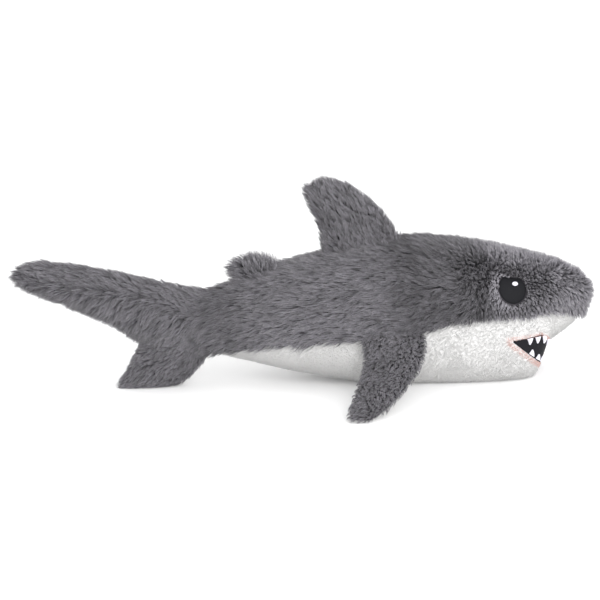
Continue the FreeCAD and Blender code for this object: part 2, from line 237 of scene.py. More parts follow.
backing = make_backing_finish()
black_felt = make_cloth_finish(
    "black_felt", (0.005, 0.005, 0.007), (0.016, 0.015, 0.020), 0.8, 1400.0, 0.06, 0.0003, 0.2
)
black_thread = make_cloth_finish(
    "black_satin_thread", (0.003, 0.003, 0.004), (0.014, 0.014, 0.017), 0.50, 2200.0, 0.0, 0.0001, 0.14
)
white_thread = make_cloth_finish(
    "white_satin_thread", (0.72, 0.70, 0.80), (0.90, 0.88, 0.95), 0.42, 2000.0, 0.1, 0.0001
)
print("cloth finishes:", backing.name, black_felt.name, black_thread.name, white_thread.name)

# %% [markdown]
# ## Stuffed shapes
# A stuffed piece is sewn from flat panels and blown up by its filling, so every slice
# through it is a rounded oval. Each row below is one slice: an edge point, the opposite edge
# point and the thickness, in hundredths of the piece's length, height and width. A smooth
# curve through the rows gives every slice between them, and a rounded oval closes each.


# %% Curves through a few rows
def smooth(rows, at):
    """A natural cubic curve through rows, read at places from 0 to the last row's number.

    Its second derivatives m solve m[i-1] + 4 m[i] + m[i+1] = 6 (y[i-1] - 2 y[i] + y[i+1]).
    """
    rows = np.asarray(rows, float)
    count = len(rows)
    system = np.eye(count)
    bend = np.zeros_like(rows)
    inner = np.arange(1, count - 1)
    system[inner, inner - 1] = 1
    system[inner, inner] = 4
    system[inner, inner + 1] = 1
    bend[1:-1] = 6 * (rows[:-2] - 2 * rows[1:-1] + rows[2:])
    curve = np.linalg.solve(system, bend)
    low = np.clip(np.floor(at).astype(int), 0, count - 2)
    b = (np.asarray(at) - low)[..., None]
    a = 1 - b
    straight = a * rows[low] + b * rows[low + 1]
    return straight + ((a**3 - a) * curve[low] + (b**3 - b) * curve[low + 1]) / 6


class Stuffed:
    """A stuffed shape about the middle plane, from rows of slices in hundredths.

    A slice runs from edge b to edge a. A share q of the way from its widest place to an edge,
    its half thickness is half x (1 - q^n)^(1/n), where n is the roundness.
    """

    MIDDLE = 0.46

    def __init__(self, rows, start, length, floor, rise, thickness, roundness):
        rows = np.array(rows, float) / 100
        self.rows = np.column_stack(
            [
                start + rows[:, 0] * length,
                floor + rows[:, 1] * rise,
                start + rows[:, 2] * length,
                floor + rows[:, 3] * rise,
                rows[:, 4] * thickness / 2,
            ]
        )
        self.roundness = roundness

    def slices(self, at):
        found = smooth(self.rows, at)
        return found[..., 0:2], found[..., 2:4], found[..., 4]

    def grid(self, first, along, around):
        """Points of the skin from row first on: rows run along it, columns round each slice."""
        a, b, half = self.slices(np.linspace(first, len(self.rows) - 1, along))
        turn = 2 * np.pi * np.arange(around) / around
        power = 2 / self.roundness
        side = np.sign(np.cos(turn)) * np.abs(np.cos(turn)) ** power
        up = np.sign(np.sin(turn)) * np.abs(np.sin(turn)) ** power
        middle = b + (a - b) * self.MIDDLE
        span = np.where(up[None, :, None] > 0, (a - middle)[:, None], (middle - b)[:, None])
        edge = middle[:, None] + span * up[None, :, None]
        return np.stack([edge[..., 0], half[:, None] * side[None], edge[..., 1]], -1)

    def half_width(self, x, z):
        """Half the thickness at a point of the middle plane, found by halving: 0 outside."""
        low = np.zeros_like(x)
        high = np.full_like(x, len(self.rows) - 1.0)
        for _ in range(32):
            at = (low + high) / 2
            a, b, half = self.slices(at)
            ahead = (a[..., 1] - b[..., 1]) * (x - b[..., 0]) - (a[..., 0] - b[..., 0]) * (z - b[..., 1])
            low = np.where(ahead > 0, at, low)
            high = np.where(ahead > 0, high, at)
        span = a - b
        share = ((x - b[..., 0]) * span[..., 0] + (z - b[..., 1]) * span[..., 1]) / (span**2).sum(-1)
        upper = (share - self.MIDDLE) / (1 - self.MIDDLE)
        lower = (self.MIDDLE - share) / self.MIDDLE
        q = np.clip(np.maximum(upper, lower), 0, 1)
        return half * (1 - q**self.roundness) ** (1 / self.roundness)


# %% [markdown]
# The body's bag, the tail's lobes and the fins all come from the same class. The body's
# length, height and width are the sizes of the sewn bag in the frame.

# %% The shapes of the sewn pieces
TAIL_JOINT = joints["tail_swing"]["pos_m"]
LOBE_JOINT = joints["upper_lobe_swing"]["pos_m"]
NOSE_X = 0.242
BODY_LENGTH = NOSE_X - TAIL_JOINT[0]
BODY_HEIGHT = 0.119
BODY_WIDTH = 0.103
BODY_ROWS = [
    (-9, 63.5, -9, 28, 17),
    (-4, 64.5, -4, 24.5, 21),
    (0, 66, 0, 23, 28),
    (8, 72.5, 8, 18, 45),
    (18, 81, 18, 11, 70),
    (31, 88.5, 31, 4, 89.5),
    (43, 94.5, 43, -2, 98),
    (56, 96.5, 56, -4.5, 100),
    (68, 92.5, 68, -6.5, 96.5),
    (76, 88.3, 76, -6.5, 92),
    (82, 84.6, 81, -5.5, 85),
    (86, 82, 83.8, -2, 76),
    (89, 80, 85.1, 4, 66),
    (91.3, 78.2, 85.8, 12, 57),
    (93.4, 75.8, 87, 20, 50),
    (95.4, 73, 91, 27.5, 42),
    (97.3, 69.8, 95.3, 36, 33),
    (98.9, 66.3, 98.2, 44.5, 23),
    (100, 62.5, 99.7, 53, 9),
]
body = Stuffed(BODY_ROWS, TAIL_JOINT[0], BODY_LENGTH, 0, BODY_HEIGHT, BODY_WIDTH, 2.3)

UPPER_LOBE_ROWS = [
    (14, 73, 14, 26, 100),
    (0, 76.5, 0, 29, 100),
    (-17, 82, -20, 34, 92),
    (-36, 88.5, -42, 52, 82),
    (-58, 96, -63, 67.5, 72),
    (-80, 101, -82.5, 79.5, 60),
    (-93, 101.5, -94.5, 87, 42),
    (-99, 97.5, -99.5, 90.5, 18),
]
upper_lobe = Stuffed(UPPER_LOBE_ROWS, LOBE_JOINT[0], 0.142, 0, 0.104, 0.020, 2.0)

LOWER_LOBE_ROWS = [
    (33, 130, -66, 128, 100),
    (27, 103, -68, 101, 100),
    (17, 70, -77, 66, 92),
    (2, 38, -88, 33, 80),
    (-15, 15, -97, 12, 62),
    (-30, 3, -98, 0, 30),
]
lower_lobe = Stuffed(LOWER_LOBE_ROWS, LOBE_JOINT[0], 0.060, 0.001, 0.037, 0.018, 2.0)

BACK_FIN_ROWS = [
    (50, -15, -49, -15, 100),
    (49, 0, -46, 0, 100),
    (40, 27, -45, 23, 92),
    (24, 55, -48, 47, 78),
    (4, 78, -54, 67, 62),
    (-14, 92, -60, 83, 45),
    (-30, 99, -61, 93, 20),
]
dorsal = Stuffed(BACK_FIN_ROWS, 0, 0.062, 0, 0.0655, 0.013, 2.0)
rear_dorsal = Stuffed(BACK_FIN_ROWS, 0, 0.030, 0, 0.019, 0.009, 2.0)

PECTORAL_ROWS = [
    (48, -9, -48, -9, 100),
    (48, 0, -48, 0, 100),
    (40, 22, -52, 21, 98),
    (20, 46, -62, 43, 88),
    (-12, 70, -80, 66, 72),
    (-46, 90, -95, 86, 50),
    (-70, 100, -102, 98, 22),
]
PECTORAL_SPAN = 0.092
pectoral = Stuffed(PECTORAL_ROWS, 0, 0.050, 0, PECTORAL_SPAN, 0.011, 2.0)
print("body", [round(v / MM) for v in (BODY_LENGTH, BODY_HEIGHT, BODY_WIDTH)], "mm")

# %% [markdown]
# ## Skins that swell
# A finished skin is a tube of quads, closed by a fan at each end. The end slices shrink
# along a quarter circle, so a nose or a fin's tip is round and not cut off. Real stuffing
# pushes a skin out between its seams, so a cloth simulation with a little air pressure
# makes each skin bulge, while its seams and its root are pinned.


# %% Grids, faces and meshes
def rounded_end(grid, depth):
    """Adds slices that shrink by cos(t) and move on by depth x sin(t), as t goes to a right angle."""
    turn = np.radians([22, 42, 60, 76])[:, None, None]
    centre = grid[-1].mean(0)
    ahead = centre - grid[-4].mean(0)
    ahead = ahead / np.linalg.norm(ahead)
    cap = centre + (grid[-1] - centre) * np.cos(turn) + ahead * depth * np.sin(turn)
    return np.concatenate([grid, cap])


def tube_faces(rows, columns):
    """Quads between neighbouring slices, and a fan of triangles round each end's middle point."""
    row, column = np.meshgrid(np.arange(rows - 1), np.arange(columns), indexing="ij")
    here = (row * columns + column).ravel()
    beside = (row * columns + (column + 1) % columns).ravel()
    quads = np.column_stack([here, beside, beside + columns, here + columns])
    ring = np.arange(columns)
    after = (ring + 1) % columns
    first = np.column_stack([np.full(columns, rows * columns), after, ring])
    top = (rows - 1) * columns
    last = np.column_stack([np.full(columns, rows * columns + 1), top + ring, top + after])
    return quads, np.concatenate([first, last])


def turned_outward(points, faces):
    """Flips the faces if the volume that they enclose comes out negative.

    Each face adds corner . (next x last) / 6, which is the volume of a cone to the origin.
    """
    volume = 0
    for group in faces:
        a, b, c = (points[group[:, k]] for k in (0, 1, 2))
        volume += np.einsum("ij,ij->", a, np.cross(b, c))
        if group.shape[1] == 4:
            volume += np.einsum("ij,ij->", a, np.cross(c, points[group[:, 3]]))
    return [group if volume > 0 else group[:, ::-1] for group in faces]


def make_mesh(name, points, faces, finish, places=None):
    """A mesh object from whole arrays: points, groups of faces, and a map place per corner."""
    mesh = bpy.data.meshes.new(name)
    corners = np.concatenate([group.ravel() for group in faces]).astype(np.int32)
    sizes = np.concatenate([np.full(len(group), group.shape[1]) for group in faces])
    starts = np.cumsum(sizes) - sizes
    mesh.vertices.add(len(points))
    mesh.vertices.foreach_set("co", points.astype(np.float32).ravel())
    mesh.loops.add(len(corners))
    mesh.loops.foreach_set("vertex_index", corners)
    mesh.polygons.add(len(sizes))
    mesh.polygons.foreach_set("loop_start", starts.astype(np.int32))
    mesh.polygons.foreach_set("use_smooth", np.ones(len(sizes), bool))
    mesh.update(calc_edges=True)
    if places is not None:
        layer = mesh.uv_layers.new(name=STRAND_MAP)
        layer.data.foreach_set("uv", places.astype(np.float32).ravel())
    mesh.materials.append(finish)
    piece = bpy.data.objects.new(name, mesh)
    bpy.context.scene.collection.objects.link(piece)
    return piece


def make_skin(name, grid):
    """A closed skin of knitted backing over a grid of slices."""
    points = np.concatenate([grid.reshape(-1, 3), [grid[0].mean(0), grid[-1].mean(0)]])
    faces = turned_outward(points, tube_faces(*grid.shape[:2]))
    return make_mesh(name, points, faces, backing)


# %% [markdown]
# Each fin has a frame of its own at its seam: its first axis runs along the chord, its
# second comes out of one side, and its third points from the root to the tip. A hinge's
# axis is the chord, so the joint alone gives the fin's place.


# %% Places of the fins
def back_fin_place(joint):
    """Seam on the back: the chord leans with it, and the fin stands square on the chord."""
    chord = np.array(joint["axis"], float)
    side = np.array([0.0, 1.0, 0.0])
    return np.array(joint["pos_m"], float), np.column_stack([chord, side, np.cross(chord, side)])


def pectoral_place(joint, side):
    """Seam on the flank: the fin hangs out and down until its tip is near the floor."""
    origin = np.array(joint["pos_m"], float)
    droop = math.asin((origin[2] - PECTORAL_TIP_Z) / PECTORAL_SPAN)
    span = np.array([0.0, side * math.cos(droop), -math.sin(droop)])
    chord = np.array([1.0, 0.0, 0.0])
    up = np.array([0.0, side * math.sin(droop), math.cos(droop)])
    return origin, np.column_stack([chord, up, span])


PECTORAL_TIP_Z = 0.0016
fin_places = {
    "dorsal_fin": back_fin_place(joints["dorsal_fin_flop"]),
    "rear_dorsal_fin": back_fin_place(joints["rear_dorsal_fin_flop"]),
    "right_pectoral_fin": pectoral_place(joints["right_pectoral_fin_flap"], -1),
    "left_pectoral_fin": pectoral_place(joints["left_pectoral_fin_flap"], 1),
}

# %% The grids of every skin
FLOOR = 0.0004
grids = {
    "torso": rounded_end(body.grid(0.4, 170, 112), 0.0035),
    "upper_lobe": rounded_end(upper_lobe.grid(0, 90, 48), 0.003),
    "lower_lobe": rounded_end(lower_lobe.grid(0, 44, 48), 0.001),
    "dorsal_fin": rounded_end(dorsal.grid(0, 48, 48), 0.002),
    "rear_dorsal_fin": rounded_end(rear_dorsal.grid(0, 24, 32), 0.001),
    "right_pectoral_fin": rounded_end(pectoral.grid(0, 60, 48), 0.001),
    "left_pectoral_fin": rounded_end(pectoral.grid(0, 60, 48), 0.001),
}
for name, (origin, turn) in fin_places.items():
    grids[name] = origin + grids[name] @ turn.T
for grid in grids.values():
    grid[..., 2] = np.maximum(grid[..., 2], FLOOR)
print("slices x points round:", {name: grid.shape[:2] for name, grid in grids.items()})

# %% [markdown]
# ## The seams
# Grey plush meets white along one seam that runs from the tail to the nose. A skin's points
# above it are grey. A hinge seam is where a skin is half torso and half fin.

# %% Where the grey ends
SEAM_ROWS = [
    (-4, 25),
    (7, 29.5),
    (15, 34),
    (32, 37.5),
    (51, 43),
    (58, 48.5),
    (71, 50),
    (84, 51),
    (90, 50),
    (96, 46),
    (106, 43),
]
seam = smooth(SEAM_ROWS, np.linspace(0, len(SEAM_ROWS) - 1, 90)) / 100
seam_x = TAIL_JOINT[0] + seam[:, 0] * BODY_LENGTH
seam_z = seam[:, 1] * BODY_HEIGHT


def above_seam(points):
    """How far each point lies above the seam between grey and white, in metres."""
    return points[..., 2] - np.interp(points[..., 0], seam_x, seam_z)


def above_fin_seam(points, name):
    """How far each point lies on the upper side of a pectoral fin's own middle."""
    origin, turn = fin_places[name]
    return (points - origin) @ turn[:, 1]


def white_share(name, points):
    """1 on white panels and 0 on grey ones, with a soft edge a millimetre wide."""
    if name == "torso":
        height = above_seam(points)
    elif "pectoral" in name:
        height = above_fin_seam(points, name)
    else:
        return np.zeros(len(points))
    return np.clip(0.5 - height / MM, 0, 1)


# %% [markdown]
# ## Stuffing
# The skins bulge between their seams, so each one gets a cloth simulation with air pressure
# and no gravity. The pinned share stands for the sewing: where it is 1, the cloth stays put.

# %% Stuffing pushes the skins out
NECK_X = 0.124
STUFFING_FRAMES = 14
MOST_BULGE = 0.0016


def pinned_share(name, grid):
    """1 where sewing holds the skin still: the face, the floor, seams and the ends of a piece."""
    rows = np.linspace(0, 1, len(grid))[:, None]
    held = np.maximum(np.clip(1.2 - rows * 8, 0, 1), np.clip(rows * 8 - 6.8, 0, 1))
    held = np.broadcast_to(held, grid.shape[:2]).copy()
    if name == "torso":
        x, z = grid[..., 0], grid[..., 2]
        held = np.maximum(held, np.clip((x - 0.145) / 0.015, 0, 1))
        held = np.maximum(held, np.clip(1 - np.abs(x - NECK_X) / 0.004, 0, 1))
        held = np.maximum(held, np.clip(1 - np.abs(above_seam(grid)) / 0.004, 0, 1))
        held = np.maximum(held, np.clip((0.012 - z) / 0.008, 0, 1))
    return held.ravel()


def points_of(mesh):
    """Every corner of a mesh, as rows of x, y and z."""
    points = np.empty(len(mesh.vertices) * 3, np.float32)
    mesh.vertices.foreach_get("co", points)
    return points.reshape(-1, 3)


def stuff(skins):
    """Runs one cloth simulation for every skin at once, and caps how far each point moves."""
    for name, skin in skins.items():
        held = np.concatenate([pinned_share(name, grids[name]), [1, 1]])
        group = skin.vertex_groups.new(name="held")
        for step in range(11):
            chosen = np.flatnonzero(np.round(held * 10) == step)
            group.add(chosen.tolist(), step / 10, "REPLACE")
        cloth = skin.modifiers.new("stuffing", "CLOTH")
        cloth.settings.use_pressure = True
        cloth.settings.uniform_pressure_force = 4.0
        cloth.settings.effector_weights.gravity = 0.0
        cloth.settings.vertex_group_mass = "held"
        cloth.settings.quality = 3
        cloth.settings.tension_stiffness = 12
        cloth.settings.compression_stiffness = 12
        cloth.point_cache.frame_end = STUFFING_FRAMES
    for frame_number in range(1, STUFFING_FRAMES + 1):
        bpy.context.scene.frame_set(frame_number)
    graph = bpy.context.evaluated_depsgraph_get()
    for name, skin in skins.items():
        before = points_of(skin.data)
        move = points_of(skin.evaluated_get(graph).data) - before
        size = np.linalg.norm(move, axis=1, keepdims=True)
        capped = move * np.minimum(1, MOST_BULGE / np.maximum(size, 1e-9))
        final = before + capped
        final[:, 2] = np.maximum(final[:, 2], FLOOR)
        skin.modifiers.clear()
        skin.vertex_groups.clear()
        skin.data.vertices.foreach_set("co", final.ravel())
        skin.data.update()
        grids[name] = final[:-2].astype(float).reshape(grids[name].shape)
        print(name, "bulged by up to", round(float(size.max()) / MM, 2), "mm before the cap")
    bpy.context.scene.frame_set(1)


skins = {name: make_skin(name + "_skin", grid) for name, grid in grids.items()}
stuff(skins)
for name, skin in skins.items():
    layer = skin.data.attributes.new("white_panel", "FLOAT", "POINT")
    layer.data.foreach_set("value", white_share(name, points_of(skin.data)).astype(np.float32))

# %% [markdown]
# ## Where strands grow
# Strands start at random places on a skin, so that each quad gets a share that follows its
# area. Plush isn't even: strands cling together in locks. A lock is found without any loop
# over strands: space is cut in cubes, one centre is thrown in each cube, and a strand joins
# the nearest of the 27 centres round it.

# %% Roots and locks
dice = np.random.default_rng(11)


def scatter(grid, per_square_mm):
    """Random places on a grid's quads, weighted by area, with the outward normal at each."""
    closed = np.concatenate([grid, grid[:, :1]], 1)
    ahead = np.gradient(closed, axis=0)
    around = np.roll(grid, -1, 1) - np.roll(grid, 1, 1)
    around = np.concatenate([around, around[:, :1]], 1)
    normals = np.cross(around, ahead)
    away = closed - closed.mean(1, keepdims=True)
    normals = normals * np.sign((normals * away).sum())
    normals = normals / np.maximum(np.linalg.norm(normals, axis=2, keepdims=True), 1e-12)
    crossing = np.cross(closed[1:, 1:] - closed[:-1, :-1], closed[1:, :-1] - closed[:-1, 1:])
    area = np.linalg.norm(crossing, axis=2) / 2
    share = np.cumsum(area.ravel())
    count = int(per_square_mm * share[-1] / MM**2)
    marks = (np.arange(count) + dice.random(count)) * share[-1] / count
    quad = np.minimum(np.searchsorted(share, marks), area.size - 1)
    row, column = np.divmod(quad, area.shape[1])
    s, t = dice.random((2, count, 1))

    def between(field):
        near = field[row, column] * (1 - t) + field[row, column + 1] * t
        far = field[row + 1, column] * (1 - t) + field[row + 1, column + 1] * t
        return near * (1 - s) + far * s

    facing = between(normals)
    return between(closed), facing / np.linalg.norm(facing, axis=1, keepdims=True)


def chance(cells, kind):
    """Numbers from 0 to 1 that depend only on the cell: the fraction of a large sine."""
    wave = np.sin(cells @ np.array([127.1, 311.7, 74.7]) + kind * 53.3) * 43758.5453
    return wave - np.floor(wave)


def locks(places, size):
    """Which lock each strand belongs to: the cube whose thrown centre is the nearest."""
    cell = np.floor(places / size)
    nearest = np.full(len(places), np.inf)
    owner = np.zeros_like(places)
    for step in np.ndindex(3, 3, 3):
        near = cell + np.array(step) - 1
        centre = (near + np.column_stack([chance(near, k) for k in (1, 2, 3)])) * size
        gap = ((places - centre) ** 2).sum(1)
        closer = gap < nearest
        nearest = np.where(closer, gap, nearest)
        owner = np.where(closer[:, None], near, owner)
    return owner


def lock_mean(values, owner):
    """The mean of values over each lock, given back to every strand in it."""
    number = np.unique(owner, axis=0, return_inverse=True)[1].ravel()
    size = np.bincount(number)
    total = np.column_stack([np.bincount(number, weights=v) for v in values.T])
    return (total / size[:, None])[number]


def unit(vectors):
    return vectors / np.maximum(np.linalg.norm(vectors, axis=1, keepdims=True), 1e-12)


# %% [markdown]
# ## One strand
# A strand is a thin closed spike: three corners at the root, three half way and one at the
# tip, so ten small triangles. Short white pile leaves out the half-way corners. A strand
# leaves the skin steeply and then lies over the way the pile is combed. Each lock's tips
# are drawn together, which makes the tufts and the dark gaps of real plush.


# %% Strands
def strand_mesh(name, stations, tip, thick, shade, finish):
    """Spikes with corners at angles 0, 120 and 240 degrees round each station, and one tip."""
    line = unit(tip - stations[0])
    across = unit(np.cross(line, [0.31, 0.52, 0.79]))
    other = np.cross(line, across)
    turn = np.radians([0, 120, 240])
    ring = np.cos(turn)[None, :, None] * across[:, None] + np.sin(turn)[None, :, None] * other[:, None]
    ring = ring * thick[:, None, None]
    rings = [station[:, None] + ring * share for station, share in zip(stations, (1.0, 0.8))]
    points = np.concatenate([*rings, tip[:, None]], 1).reshape(-1, 3)
    top = 3 * len(stations) - 3
    base = np.arange(len(tip))[:, None, None] * (top + 4)
    corners = np.array([[0, 1, 3], [1, 2, 3], [2, 0, 3]]) + top
    spikes = (base + np.concatenate([corners, [[2, 1, 0]]])).reshape(-1, 3)
    low, high = shade - 0.003, shade + 0.003
    foot, knee, end = (np.full_like(shade, v) for v in (0.01, 0.5 if top else 0.01, 0.99))
    side_map = np.stack([[low, knee], [high, knee], [shade, end]], 0)
    cap_map = np.stack([[low, foot], [high, foot], [shade, foot + 0.02]], 0)
    sides = np.repeat(np.moveaxis(side_map, 2, 0)[:, None], 3, 1)
    places = np.concatenate([sides, np.moveaxis(cap_map, 2, 0)[:, None]], 1).reshape(-1, 2)
    groups = [spikes]
    if top:
        quads = (base + np.array([[0, 1, 4, 3], [1, 2, 5, 4], [2, 0, 3, 5]])).reshape(-1, 4)
        quad_map = np.stack([[low, foot], [high, foot], [high, knee], [low, knee]], 0)
        quad_map = np.repeat(np.moveaxis(quad_map, 2, 0)[:, None], 3, 1).reshape(-1, 2)
        groups.append(quads)
        places = np.concatenate([places, quad_map])
    return make_mesh(name, points, groups, finish, places)


ROOT_DEPTH = 0.0006
SHADE_LIMITS = (0.02, 0.98)
MOST_STRANDS = 19500


class Pile:
    """Strands of one region: their roots, normals, comb direction, lengths and shades."""

    def __init__(self, roots, normals, comb, length, rise, thick, tangle=1.0):
        self.roots = roots
        self.normals = normals
        count = len(roots)
        fine = locks(roots, 0.0030)
        wide = locks(roots, 0.0120)
        sway = np.column_stack([chance(wide, k) for k in (4, 5, 6)]) - 0.5
        lean = np.column_stack([chance(fine, k) for k in (7, 8, 9)]) - 0.5
        stray = dice.random((count, 3)) - 0.5
        way = unit(comb) + (sway * 0.55 + lean * 0.5 + stray * 0.55) * tangle
        way = unit(way - normals * (way * normals).sum(1, keepdims=True))
        rise = rise * (0.6 + 0.5 * chance(fine, 10) + 0.5 * dice.random(count))[:, None]
        length = (length * (0.7 + 0.25 * chance(wide, 11) + 0.45 * dice.random(count)))[:, None]
        middle = roots + length * 0.5 * unit(way * 0.75 + normals * (rise + 0.35))
        tip = middle + length * 0.55 * unit(way + normals * (rise - 0.2))
        draw = (0.2 + 0.4 * chance(fine, 12)[:, None]) * tangle
        self.middle = middle + (lock_mean(middle, fine) - middle) * draw * 0.4
        self.tip = tip + (lock_mean(tip, fine) - tip) * draw
        self.thick = thick * (0.8 + 0.4 * dice.random(count))
        shade = 0.06 + 0.26 * chance(fine, 13) + 0.16 * chance(wide, 14) + 0.44 * dice.random(count)
        self.shade = np.clip(shade, *SHADE_LIMITS)
        for spots in (self.middle, self.tip):
            spots[:, 2] = np.maximum(spots[:, 2], FLOOR)

    def pieces(self, name, finish, slot, bent=True):
        """Cuts the pile in pieces from tail to nose, each small enough to handle."""
        order = np.argsort(self.roots[:, 0], kind="stable")
        parts = np.array_split(order, math.ceil(len(order) / MOST_STRANDS))
        made = []
        for number, chosen in enumerate(parts, 1):
            label = f"{name}_{number}" if len(parts) > 1 else name
            stations = [(self.roots - self.normals * ROOT_DEPTH)[chosen]]
            if bent:
                stations.append(self.middle[chosen])
            ends = (self.tip[chosen], self.thick[chosen], self.shade[chosen])
            piece = strand_mesh(label, stations, *ends, finish)
            made.append(piece)
        print(name, len(order), "strands in", len(parts), "pieces")
        return made


# %% [markdown]
# ## The face
# The eye is an oval of black satin stitch, cut flat on top by a lid. Face pieces lie on the
# head, so each is worked out on the middle plane and pushed out to the head's half width.
# The eye's oval is measured in a frame of its own: ahead along the head, and up across it.

# %% The side of the head
EYE_X = 0.1653
EYE_Z = 0.0822
EYE_WIDTH = 0.0244
EYE_HEIGHT = 0.0252


def side_frame(x, z):
    """The head's surface at (x, z) on the right side: the spot, and unit vectors ahead, up, out."""
    near = np.array([[x, z], [x + MM, z], [x, z + MM]])
    width = body.half_width(near[:, 0], near[:, 1])
    spots = np.column_stack([near[:, 0], -width, near[:, 1]])
    ahead = spots[1] - spots[0]
    above = spots[2] - spots[0]
    out = np.cross(ahead, above)
    out = out / np.linalg.norm(out)
    ahead = ahead / np.linalg.norm(ahead)
    return spots[0], ahead, np.cross(out, ahead), out


eye_spot, eye_ahead, eye_up, eye_out = side_frame(EYE_X, EYE_Z)


def eye_places(points):
    """How far ahead and up of the eye's middle each point lies, mirrored to the right side."""
    mirrored = np.column_stack([points[:, 0], -np.abs(points[:, 1]), points[:, 2]]) - eye_spot
    return mirrored @ eye_ahead, mirrored @ eye_up


def on_head(ahead, up):
    """Points of the head's right side over places (ahead, up) in the eye's frame.

    A line square to the eye crosses the head; six steps of x and z follow the half width in.
    """
    spots = eye_spot + ahead[..., None] * eye_ahead + up[..., None] * eye_up
    for _ in range(6):
        depth = -body.half_width(spots[..., 0], spots[..., 2]) - spots[..., 1]
        spots = spots + (depth / eye_out[1])[..., None] * eye_out
    return spots


def patch(name, under, lift, finish, mirror):
    """A thin closed patch: a top grid lifted off the head, an under grid, and a rim between.

    The grid's columns go round it and its rows run from the rim to the middle.
    """
    rows, columns = under.shape[:2]
    top = under + eye_out * lift[..., None]
    base = under - eye_out * 0.0012
    points = np.concatenate([top.reshape(-1, 3), base[0]])
    if mirror:
        points = points * np.array([1, -1, 1])
    quads = tube_faces(rows, columns)[0]
    ring = np.arange(columns)
    after = (ring + 1) % columns
    rim = rows * columns
    wall = np.column_stack([rim + ring, rim + after, after, ring])
    inner = (rows - 1) * columns
    fan = np.arange(1, columns - 1)
    cap = np.column_stack([np.full(columns - 2, inner), inner + fan, inner + fan + 1])
    back = np.column_stack([np.full(columns - 2, rim), rim + fan + 1, rim + fan])
    faces = turned_outward(points, [np.concatenate([quads, wall]), np.concatenate([cap, back])])
    piece = make_mesh(name, points, faces, finish)
    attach(piece, "torso")
    return piece


# %% [markdown]
# ### Satin stitch
# Satin stitch is thread laid side by side, so its surface is a row of ridges. One formula
# lifts the patch: a dome that falls to the rim, plus a small wave across the threads.


# %% Eyes and their glints
def oval_grid(width, height, rows, columns, lid=None):
    """Places (ahead, up) on nested ovals. A lid cuts the oval along a slanting line."""
    size = np.sqrt(np.linspace(1, 0.0004, rows))[:, None]
    turn = (2 * np.pi * np.arange(columns) / columns)[None, :]
    ahead = width / 2 * np.cos(turn)
    up = height / 2 * np.sin(turn)
    if lid is not None:
        up = np.minimum(up, lid[0] + lid[1] * ahead)
    return size * ahead, size * up, 1 - size**2


def ridges(across, pitch, height):
    """Round threads side by side: height x |cos(pi across / pitch)|."""
    return height * np.abs(np.cos(np.pi * across / pitch))


LID = (0.0101, -0.17)
for side, mirror in (("right", False), ("left", True)):
    ahead, up, dome = oval_grid(EYE_WIDTH, EYE_HEIGHT, 60, 220, LID)
    lift = 0.0004 + 0.0018 * dome**0.6 + ridges(ahead + 0.25 * up, 0.00055, 0.00016)
    eye = patch(side + "_eye_stitching", on_head(ahead, up), lift, black_thread, mirror)
    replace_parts(eye, side + "_eye")
    ahead, up, dome = oval_grid(0.0052, 0.0036, 16, 60)
    lift = 0.0024 + 0.0006 * dome**0.5 + ridges(ahead, 0.0005, 0.00012)
    glint = patch(
        side + "_eye_glint", on_head(ahead + 0.0022, up + 0.0038), lift, white_thread, mirror
    )
    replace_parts(glint, side + "_eye_highlight")
print("eye middle at", [round(float(v) / MM, 1) for v in eye_spot], "mm")

# %% [markdown]
# ### The mouth
# The mouth is a wedge of black felt that wraps round the front of the muzzle. It is swept
# round an upright axis through the corner of the mouth: the first parameter turns from the
# right cheek to the left, and the second climbs from the lower edge to the upper one.

# %% The mouth's surface
MOUTH_X = 0.1635
MOUTH_Z = 0.039
MOUTH_LENGTH = 0.035
MOUTH_TOP = ((0.1635, 0.192, 0.205, 0.262), (0.039, 0.041, 0.0315, -0.0102))
MOUTH_BOTTOM_Z = 0.0125


def mouth_top(x):
    """The upper edge climbs from the corner to its arch, then drops past the front."""
    return np.interp(x, *MOUTH_TOP)


def mouth_bottom(x):
    """The lower edge drops from the corner in a straight line."""
    return MOUTH_Z + (MOUTH_BOTTOM_Z - MOUTH_Z) * (x - MOUTH_X) / MOUTH_LENGTH


JAW_TURNS = np.radians(np.linspace(-92, 92, 93))
JAW_HEIGHTS = np.linspace(0.004, 0.060, 57)


def jaw_table():
    """How far each level line from the mouth's axis runs inside the head, found by halving."""
    turn, z = np.meshgrid(JAW_TURNS, JAW_HEIGHTS, indexing="ij")
    near = np.zeros_like(turn)
    far = np.full_like(turn, 0.09)
    for _ in range(18):
        reach = (near + far) / 2
        width = body.half_width(MOUTH_X + reach * np.cos(turn), z)
        inside = width > np.abs(reach * np.sin(turn))
        near = np.where(inside, reach, near)
        far = np.where(inside, far, reach)
    return near


JAW_REACH = jaw_table()


def round_jaw(turn, z):
    """The point of the head at angle turn round the mouth's axis and height z, from the table."""
    row = np.clip((turn - JAW_TURNS[0]) / (JAW_TURNS[1] - JAW_TURNS[0]), 0, len(JAW_TURNS) - 1.001)
    column = (z - JAW_HEIGHTS[0]) / (JAW_HEIGHTS[1] - JAW_HEIGHTS[0])
    column = np.clip(column, 0, len(JAW_HEIGHTS) - 1.001)
    r, c = row.astype(int), column.astype(int)
    s, t = row - r, column - c
    near = JAW_REACH[r, c] * (1 - t) + JAW_REACH[r, c + 1] * t
    far = JAW_REACH[r + 1, c] * (1 - t) + JAW_REACH[r + 1, c + 1] * t
    reach = near * (1 - s) + far * s
    return np.stack([MOUTH_X + reach * np.cos(turn), reach * np.sin(turn), z + 0 * turn], -1)


